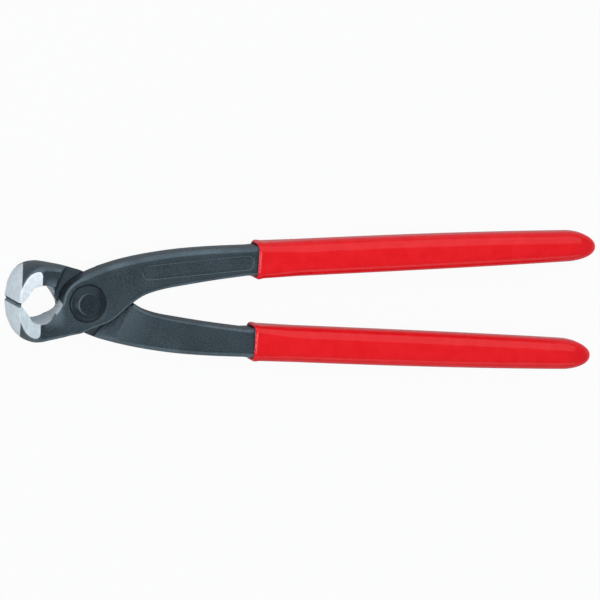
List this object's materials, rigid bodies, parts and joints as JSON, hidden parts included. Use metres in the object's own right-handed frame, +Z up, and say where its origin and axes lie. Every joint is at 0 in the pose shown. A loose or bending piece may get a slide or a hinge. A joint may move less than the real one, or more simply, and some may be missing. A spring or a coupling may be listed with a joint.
{
  "type": "concreters nippers",
  "caption": "End-cutting nippers with broad claw jaws, a riveted lap joint, forged levers and dipped grips, for twisting and cutting tie wire.",
  "frame": {"origin": "centre of the bounding box in plan, on the surface the tool lies on", "axes": "+X from the jaws to the handle ends, +Y towards the handle of the front lever, +Z up, out of the front face"},
  "size_m": [0.22, 0.0506, 0.018],
  "materials": {
    "black_finish": "matt dark forging finish",
    "rivet_finish": "matt dark finish",
    "red_grip": "glossy dipped skin"
  },
  "bodies": {
    "front_lever": {"front_lever": "black_finish", "joint_rivet": "rivet_finish", "front_grip": "red_grip"},
    "back_lever": {"back_lever": "black_finish", "back_grip": "red_grip"}
  },
  "joints": [
    {"name": "jaw_pivot", "type": "hinge", "parent": "front_lever", "child": "back_lever", "pos_m": [-0.083, 0, 0.009], "axis": [0, 0, -1], "range_deg": [0, 35]}
  ]
}
